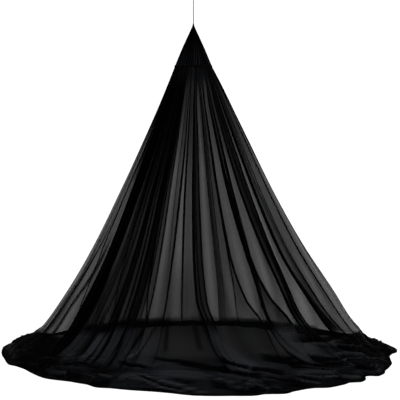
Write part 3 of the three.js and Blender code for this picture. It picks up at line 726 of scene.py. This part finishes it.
cone_low, cone_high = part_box("top_cone")
cone_down = np.linspace(0, 1, CONE_ROWS)
cone_radius = CONE_TIP + (HOOP_RADIUS - CONE_TIP) * cone_down
cone_height = cone_high.z + (cone_low.z - SEWN_IN - cone_high.z) * cone_down
cone_run = np.array([HOOP_RADIUS - CONE_TIP, cone_low.z - cone_high.z])
cone_run /= np.linalg.norm(cone_run)
cone_base = np.linspace(0, 360, CONE_COLUMNS, endpoint=False)
unequal = 2.2 * np.sin(np.radians(5 * cone_base)) + 1.4 * np.sin(np.radians(11 * cone_base + 40))
pleat = (0.5 - 0.5 * np.cos(np.radians((cone_base + unequal) * CONE_PLEATS))) ** 2
pleat_share = ramp(0, 0.55, cone_down) * (1 - 0.45 * ramp(0.6, 1, cone_down))
pleat_depth = PLEAT_DEPTH * column(pleat_share) * pleat
cone_turned = cone_base[None, :] + np.degrees(PLEAT_LIE * pleat_depth / column(cone_radius))
cone_out = turn(cone_turned, -cone_run[1], cone_run[0])
cone_points = turn(cone_turned, column(cone_radius), column(cone_height))
cone_points += cone_out * (PLEAT_STAND * pleat_depth)[..., None]

front = bell(0, 16, (cone_base + 180) % 360 - 180)
cone_cover = CONE_LAYERS + FRONT_LAYERS * front[None, :]
cone_cover = cone_cover + TIP_LAYERS * column(1 - ramp(0.1, 0.6, cone_down))
patchy = np.sin(np.radians(13 * cone_base + 25)) * np.sin(np.radians(7 * cone_base + 80))
# A painted highlight on the pleats' outer edges, patchy and strongest low on the cone.
cone_painted_light = 0.75 * pleat**2 * (0.5 + 0.5 * patchy) * column(ramp(0.3, 0.95, cone_down))
top_cloth = grid_piece("top_cone_cloth", cone_points,
                       facts={"cover": cone_cover, "gathered": 0.8, "seams_and_painted_light": cone_painted_light})
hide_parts("top_cone")

# %% [markdown]
# ## Tubes along a path
# The cord, its loop and the rod are tubes: a small circle carried along a path. The circle is
# set square to the path by two directions that turn with it, and its radius may change.

# %% Tubes
def carried(path, closed):
    """Two unit directions square to a path at each of its points. The first is a fixed side
    direction less its part along the path."""
    step = np.roll(path, -1, axis=0) - np.roll(path, 1, axis=0) if closed else np.gradient(path, axis=0)
    ahead = step / np.linalg.norm(step, axis=1, keepdims=True)
    side = np.array([0.0, 1.0, 0.0]) - ahead * ahead[:, 1:2]
    upright = np.abs(ahead[:, 1]) > 0.95
    side[upright] = np.array([1.0, 0.0, 0.0]) - ahead[upright] * ahead[upright, 0:1]
    side /= np.linalg.norm(side, axis=1, keepdims=True)
    return side, np.cross(ahead, side)


def tube(path, radius, sides, closed=False):
    """Grid of points on a tube: path point plus radius times a direction that turns round."""
    side, across = carried(path, closed)
    turns = np.linspace(0, 2 * np.pi, sides, endpoint=False)
    rays = side[:, None] * np.cos(turns)[None, :, None] + across[:, None] * np.sin(turns)[None, :, None]
    return path[:, None] + rays * np.broadcast_to(radius, rays.shape[:2])[..., None]


def joined(name, objects):
    """Several pieces made into one mesh."""
    with bpy.context.temp_override(active_object=objects[0], selected_editable_objects=objects):
        bpy.ops.object.join()
    objects[0].name = name
    return objects[0]

# %% [markdown]
# ## The cord and its loop
# The cord is laid from three strands and drawn taut by the net's weight. It runs straight up
# from the bound tip to a loop for a ceiling hook. Its knot is three close turns round itself.

# %% The cord
CORD_SIDES, STRANDS, LAY_LENGTH = 24, 3, 0.014
CORD_IN_TIP, CORD_IN_KNOT = 0.002, 0.003


def laid_cord(name, path):
    """A piece of the cord along this path. Its strands bulge out and wind round once in each
    lay, so the radius changes round the cord and along it."""
    walked = np.concatenate([[0], np.cumsum(np.linalg.norm(np.diff(path, axis=0), axis=1))])
    turns = np.linspace(0, 2 * np.pi, CORD_SIDES, endpoint=False)
    phase = STRANDS * (turns[None, :] - 2 * np.pi * walked[:, None] / LAY_LENGTH)
    radius = CORD_RADIUS * (0.93 + 0.07 * np.abs(np.cos(phase / 2)) ** 0.7)
    return grid_piece(name, tube(path, radius, CORD_SIDES)[::-1])


cord_start = np.array([0.0, 0.0, tip_high.z - CORD_IN_TIP])
cord_end = np.array([0.0, 0.0, cord_high.z + CORD_IN_KNOT])
cord_path = cord_start + (cord_end - cord_start) * column(np.linspace(0, 1, 240))
cord = laid_cord("cord", cord_path)
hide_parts("hanging_cord")

# %% The loop and its knot
KNOT_TURNS, KNOT_LOW, KNOT_TALL, KNOT_REACH = 3, loop_low.z + 0.0045, 0.0135, 0.0052
LOOP_HALF = loop_high.x - CORD_RADIUS
LOOP_TOP, LOOP_FOOT = loop_high.z - CORD_RADIUS, loop_low.z + 0.014
LEGS_APART = 0.12

t = np.linspace(LEGS_APART, 2 * np.pi - LEGS_APART, 260)
loop_path = np.stack([
    LOOP_HALF * np.sin(t) * np.sin(t / 2) ** 0.9,
    np.zeros_like(t),
    LOOP_TOP - (LOOP_TOP - LOOP_FOOT) * (0.5 + 0.5 * np.cos(t)),
], axis=-1)
t = np.linspace(0, KNOT_TURNS * 2 * np.pi, 150)
knot_path = np.stack([
    KNOT_REACH * np.cos(t), KNOT_REACH * np.sin(t), KNOT_LOW + KNOT_TALL * t / t[-1],
], axis=-1)
loop = joined("cord_loop", [laid_cord("loop_bight", loop_path), laid_cord("loop_knot", knot_path)])
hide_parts("hanging_loop")

# %% [markdown]
# ## The bound tip
# At the tip the cone's cloth is drawn round the cord's end and whipped with thread. The tip is
# turned on its own axis like a spindle, and the thread is a fine ridge that winds up it.

# %% Bound tip
TIP_ROWS, TIP_SIDES, THREAD_PITCH, THREAD_STAND = 200, 48, 0.0016, 0.0004
TIP_HOLE = 0.0005
# The tip's radius at these shares of its height
SPINDLE = np.array([(0, 0.0066), (0.3, 0.0074), (0.62, 0.0066), (0.85, 0.0052), (1, 0.0036)])

tip_height = np.linspace(0, 1, TIP_ROWS)
tip_long = tip_high.z - tip_low.z
tip_radius = eased(*SPINDLE.T, tip_height)
around = np.linspace(0, 2 * np.pi, TIP_SIDES, endpoint=False)
winding = np.pi * (column(tip_height) * tip_long / THREAD_PITCH - around[None, :] / (2 * np.pi))
tip_grid = column(tip_radius) + THREAD_STAND * np.abs(np.sin(winding))
tip_bearings = np.degrees(around)[None, :]
tip_side = turn(tip_bearings, tip_grid, column(tip_low.z + tip_long * tip_height))
tip_foot = turn(tip_bearings, TIP_HOLE, tip_low.z)
tip = grid_piece("tip_whipping", np.concatenate([tip_foot, tip_side])[::-1])
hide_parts("bound_tip")

# %% [markdown]
# ## The hoop and its casing
# A springy rod is joined into a hoop inside a casing: a strip of close cloth folded over it,
# puckered because it is a little longer than the rod, and open along its inner side.

# %% Hoop and casing
HOOP_STEPS, ROD_SIDES = 288, 20
CASING_STEPS, CASING_ROWS, CASING_WRAP, CASING_SET_IN = 720, 26, 300, 0.0008
PUCKERS, PUCKER_DEPTH = 84, 0.0007

hoop_path = turn(np.linspace(0, 360, HOOP_STEPS, endpoint=False), HOOP_RADIUS, HOOP_Z)
rod = np.swapaxes(tube(hoop_path, ROD_RADIUS, ROD_SIDES, closed=True), 0, 1)
hoop_rod = grid_piece("hoop_rod", np.concatenate([rod, rod[:1]]))
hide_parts("hoop")

wrap = column(np.radians(np.linspace(CASING_WRAP / 2, -CASING_WRAP / 2, CASING_ROWS)))
stations = np.linspace(0, 360, CASING_STEPS, endpoint=False)[None, :]
uneven_puckers = 60 * np.sin(np.radians(stations * 7))
pucker = PUCKER_DEPTH * np.sin(np.radians(stations * PUCKERS + uneven_puckers))
casing_grid = CASING_RADIUS - CASING_SET_IN + pucker * (0.6 + 0.4 * np.cos(wrap))
casing_out = HOOP_RADIUS + casing_grid * np.cos(wrap)
casing = grid_piece("casing_cloth", turn(stations, casing_out, HOOP_Z + casing_grid * np.sin(wrap)))
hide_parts("hoop_casing")

# %% [markdown]
# ## Shader maths in Python
# Wrapping an output socket in a class that knows the arithmetic signs lets a material's nodes
# be written as a formula: `1 - mask` adds a Math node. Most others come from one method that
# takes a node's type, its settings and its inputs.

# %% Writing a finish as expressions
def sign(operation, reflected=False):
    """A method that adds one Math node. Its wire is the second input if it is reflected."""
    def method(wire, other=0.0):
        inputs = {0: other, 1: wire} if reflected else {0: wire, 1: other}
        return wire.finish.node("ShaderNodeMath", {"operation": operation}, inputs)
    return method


class Wire:
    """An output socket that can be added, subtracted and multiplied, in either order."""

    def __init__(self, finish, socket):
        self.finish, self.socket = finish, socket

    __add__, __radd__ = sign("ADD"), sign("ADD", reflected=True)
    __sub__, __rsub__ = sign("SUBTRACT"), sign("SUBTRACT", reflected=True)
    __mul__, __rmul__ = sign("MULTIPLY"), sign("MULTIPLY", reflected=True)
    __rpow__, __abs__ = sign("POWER", reflected=True), sign("ABSOLUTE")
    sine, at_least = sign("SINE"), sign("MAXIMUM")

    def between(self, low, high):
        """0 at low, 1 at high, and smooth between."""
        return self.finish.node("ShaderNodeMapRange", {"interpolation_type": "SMOOTHSTEP"},
                                {"Value": self, "From Min": low, "From Max": high})


class Finish:
    """A material under construction."""

    def __init__(self, name):
        self.material = bpy.data.materials.new(name)
        self.material.use_nodes = True
        self.tree = self.material.node_tree
        self.tree.nodes.clear()

    def node(self, kind, settings=None, inputs=None, output=0):
        """Adds one node: its settings first, then each input as a number, colour or wire."""
        node = self.tree.nodes.new(kind)
        for name, value in (settings or {}).items():
            setattr(node, name, value)
        for name, value in (inputs or {}).items():
            if isinstance(value, Wire):
                self.tree.links.new(value.socket, node.inputs[name])
            else:
                node.inputs[name].default_value = value
        return Wire(self, node.outputs[output])

    def fact(self, name):
        """One of the values that the piece carries at each of its points."""
        return self.node("ShaderNodeAttribute", {"attribute_name": name}, output=2)

    def colours(self, share, first, second):
        """A blend of two colours: the first where share is 0 and the second where it is 1."""
        return self.node("ShaderNodeMix", {"data_type": "RGBA"},
                         {0: share, 6: (*first, 1.0), 7: (*second, 1.0)}, output=2)

    def chart(self, width, length):
        """Metres round the cloth and metres up it, from the piece's own map."""
        place = self.node("ShaderNodeUVMap", {"uv_map": "cloth"})
        parts = self.tree.nodes.new("ShaderNodeSeparateXYZ")
        self.tree.links.new(place.socket, parts.inputs[0])
        return Wire(self, parts.outputs[0]) * width, Wire(self, parts.outputs[1]) * length

    def noise(self, x, y, detail=2.0, z=0.0):
        """Soft noise over two distances that are already multiplied by its fineness."""
        spot = self.node("ShaderNodeCombineXYZ", None, {0: x, 1: y, 2: z})
        return self.node("ShaderNodeTexNoise", None, {"Vector": spot, "Scale": 1.0, "Detail": detail})

    def wear(self, piece, shader):
        """Ends the material with this shader and puts it on the piece."""
        end = self.tree.nodes.new("ShaderNodeOutputMaterial")
        self.tree.links.new(shader.socket, end.inputs["Surface"])
        piece.data.materials.clear()
        piece.data.materials.append(self.material)


# %% [markdown]
# ## Netting
# From across a room the holes of netting are far too small to see, so what shows is a dark film.
# One layer lets about a quarter of the light by, and each further layer that share of the rest,
# so alpha is 1 less that share to the power of cover. Light on its way to the floor inside
# slants through the walls, where thread hides nearly every hole, so it meets a denser film.

# %% Netting finish
ONE_LAYER, LEAST_LAYERS = 0.225, 0.3
MESH_PITCH = 0.0016
THROUGH_TO_FLOOR = 0.036
# The thread's own colour is nearly black; the paler colour is for the painted highlights and the seams'
# paler thread.
THREAD_DARK, PALE_SEAM_AND_HIGHLIGHT = (0.0004, 0.0004, 0.0005), (0.0180, 0.0190, 0.0215)
HIGHLIGHT_LINE, SHADE_LINE = 0.22, 0.9
PLAIN_STREAKS = 0.06


def netting(name, piece, width, length, streak_depth):
    """The netting's finish on a piece that was cut this wide and long."""
    finish = Finish(name)
    across, up = finish.chart(width, length)
    facts = ("cover", "gathered", "seams_and_painted_light", "lay", "painted_line_share")
    cover, gathered, seams_and_painted_light, lay, painted_line_share = (finish.fact(fact) for fact in facts)

    broad = finish.noise(across * 5.0, up * 0.35, detail=3.0)
    close = finish.noise(across * 16.0, up * 0.6, z=4.0)
    streaks = (broad - 0.5) * 3.0 + (close - 0.5) * 2.0
    layers = cover + streaks * (gathered * streak_depth + PLAIN_STREAKS)
    threads = (across * (2 * math.pi / MESH_PITCH)).sine() * (up * (2 * math.pi / MESH_PITCH)).sine()
    open_share = ONE_LAYER ** layers.at_least(LEAST_LAYERS)
    alpha = 1.0 - open_share * (1.0 + threads * 0.25)

    # Fine lines over the skirt: painted highlights and lines of painted shade, as strong as the skirt's
    # share for them allows.
    highlight_lines = abs(finish.noise(across * 4.0, lay * 20.0, z=8.0) - 0.5).between(0.030, 0.004)
    shade_lines = abs(finish.noise(across * 3.0, lay * 17.0, z=12.0) - 0.5).between(0.045, 0.010)
    # The colour goes from the thread's black towards grey by the painted light and the seams, with the fine
    # painted lines on top.
    painted_paleness = seams_and_painted_light + highlight_lines * painted_line_share * HIGHLIGHT_LINE
    colour = finish.colours(painted_paleness * (1.0 - shade_lines * painted_line_share * SHADE_LINE), THREAD_DARK, PALE_SEAM_AND_HIGHLIGHT)

    bump = finish.node("ShaderNodeBump", None, {"Strength": 0.25, "Distance": 0.0006, "Height": threads})
    cloth = finish.node("ShaderNodeBsdfPrincipled", None, {
        "Base Color": colour, "Alpha": alpha, "Normal": bump, "Roughness": 0.55,
        "Specular IOR Level": 0.003,
    })
    film = finish.node("ShaderNodeBsdfTransparent", None, {"Color": (THROUGH_TO_FLOOR,) * 3 + (1.0,)})
    seen = finish.node("ShaderNodeLightPath")
    finish.wear(piece, finish.node("ShaderNodeMixShader", None, {0: seen, 1: film, 2: cloth}))


NET_WIDTH = 9.6
netting("netting", net_cloth, NET_WIDTH, CLOTH_LENGTH, streak_depth=0.68)
netting("cone_netting", top_cloth, 1.15, 0.33, streak_depth=0.8)
print("netting cut", NET_WIDTH, "m wide and", round(CLOTH_LENGTH, 2), "m long")

# %% [markdown]
# ## Bindings, cord and rod
# The casing, the whipping and the cord are closely woven and don't let light by, and their threads
# get a painted highlight where they rise. The rod is plastic, and the same pattern in two colours
# that lie close together gives it a faint grain.

# %% Finishes of the small pieces
WEAVE, MOTTLE = 4200.0, 60.0
CORD_DARK, CORD_PALE = (0.006, 0.006, 0.007), (0.020, 0.020, 0.022)


def woven(name, piece, width, length, dark, pale, roughness):
    """A close plain weave: threads over and under at a set pitch, painted paler where they rise as a
    highlight on cloth and as a grain on the rod, with a random mottle.
    """
    finish = Finish(name)
    across, up = finish.chart(width, length)
    weave = (across * WEAVE).sine() * (up * WEAVE).sine()
    mottle = finish.noise(across * MOTTLE, up * MOTTLE)
    # Paler where the weave rises: a painted highlight on the cloth pieces and a faint grain on the rod,
    # with a random mottle.
    colour = finish.colours(weave * 0.3 + mottle, dark, pale)
    bump = finish.node("ShaderNodeBump", None, {"Strength": 0.4, "Distance": 0.0003, "Height": weave})
    shader = finish.node("ShaderNodeBsdfPrincipled", None, {
        "Base Color": colour, "Roughness": roughness, "Normal": bump, "Specular IOR Level": 0.01,
    })
    finish.wear(piece, shader)


woven("casing_weave", casing, 0.87, 0.035, (0.0008, 0.0008, 0.0010), (0.0030, 0.0030, 0.0036), 0.8)
woven("whipping_thread", tip, 0.045, 0.03, (0.003, 0.003, 0.004), (0.010, 0.010, 0.012), 0.75)
woven("cord_strand", cord, 0.019, 0.19, CORD_DARK, CORD_PALE, 0.6)
woven("loop_strand", loop, 0.019, 0.13, CORD_DARK, CORD_PALE, 0.6)
woven("rod_plastic", hoop_rod, 0.025, 0.87, (0.006, 0.006, 0.007), (0.012, 0.012, 0.014), 0.4)

# %% [markdown]
# ## Floor and light
# One broad soft sun stands straight overhead, so the pale floor beyond the hem stays bright
# while the floor inside, under the slanting walls, falls dark. A weak even light from all round
# keeps the sides from going black. Past the floor's far edge the camera sees plain white.

# %% Floor and light
FLOOR_HALF, FLOOR_PALE, SUN_STRENGTH, SUN_WIDTH = 300.0, 0.82, 3.75, 56
BACKDROP_STRENGTH, FILL_STRENGTH, FILL_COLOUR = 1.12, 0.22, (0.95, 0.97, 1, 1)

floor_mesh = bpy.data.meshes.new("floor")
corners = [(-1, -1), (1, -1), (1, 1), (-1, 1)]
floor_mesh.from_pydata([(x * FLOOR_HALF, y * FLOOR_HALF, FLOOR) for x, y in corners], [], [(0, 1, 2, 3)])
floor = bpy.data.objects.new("floor", floor_mesh)
bpy.context.scene.collection.objects.link(floor)
ground = Finish("pale_floor")
ground.wear(floor, ground.node("ShaderNodeBsdfDiffuse", None, {"Color": (FLOOR_PALE,) * 3 + (1.0,)}))

sun = bpy.data.lights.new("overhead", "SUN")
sun.energy, sun.angle = SUN_STRENGTH, math.radians(SUN_WIDTH)
sun_object = bpy.data.objects.new("overhead", sun)
bpy.context.scene.collection.objects.link(sun_object)

world = bpy.data.worlds.new("studio")
bpy.context.scene.world = world
world.use_nodes = True
sky = world.node_tree
sky.nodes.clear()
backdrop, fill = (sky.nodes.new("ShaderNodeBackground") for _ in range(2))
backdrop.inputs["Color"].default_value = (1, 1, 1, 1)
backdrop.inputs["Strength"].default_value = BACKDROP_STRENGTH
fill.inputs["Color"].default_value = FILL_COLOUR
fill.inputs["Strength"].default_value = FILL_STRENGTH
path, blend, end = (sky.nodes.new(kind) for kind in (
    "ShaderNodeLightPath", "ShaderNodeMixShader", "ShaderNodeOutputWorld"))
sky.links.new(path.outputs["Is Camera Ray"], blend.inputs[0])
sky.links.new(fill.outputs[0], blend.inputs[1])
sky.links.new(backdrop.outputs[0], blend.inputs[2])
sky.links.new(blend.outputs[0], end.inputs[0])

bpy.context.scene.view_settings.view_transform = "Standard"

# %% The frame's box
print("CAD box", [[round(x, 3) for x in c] for c in cad_box])
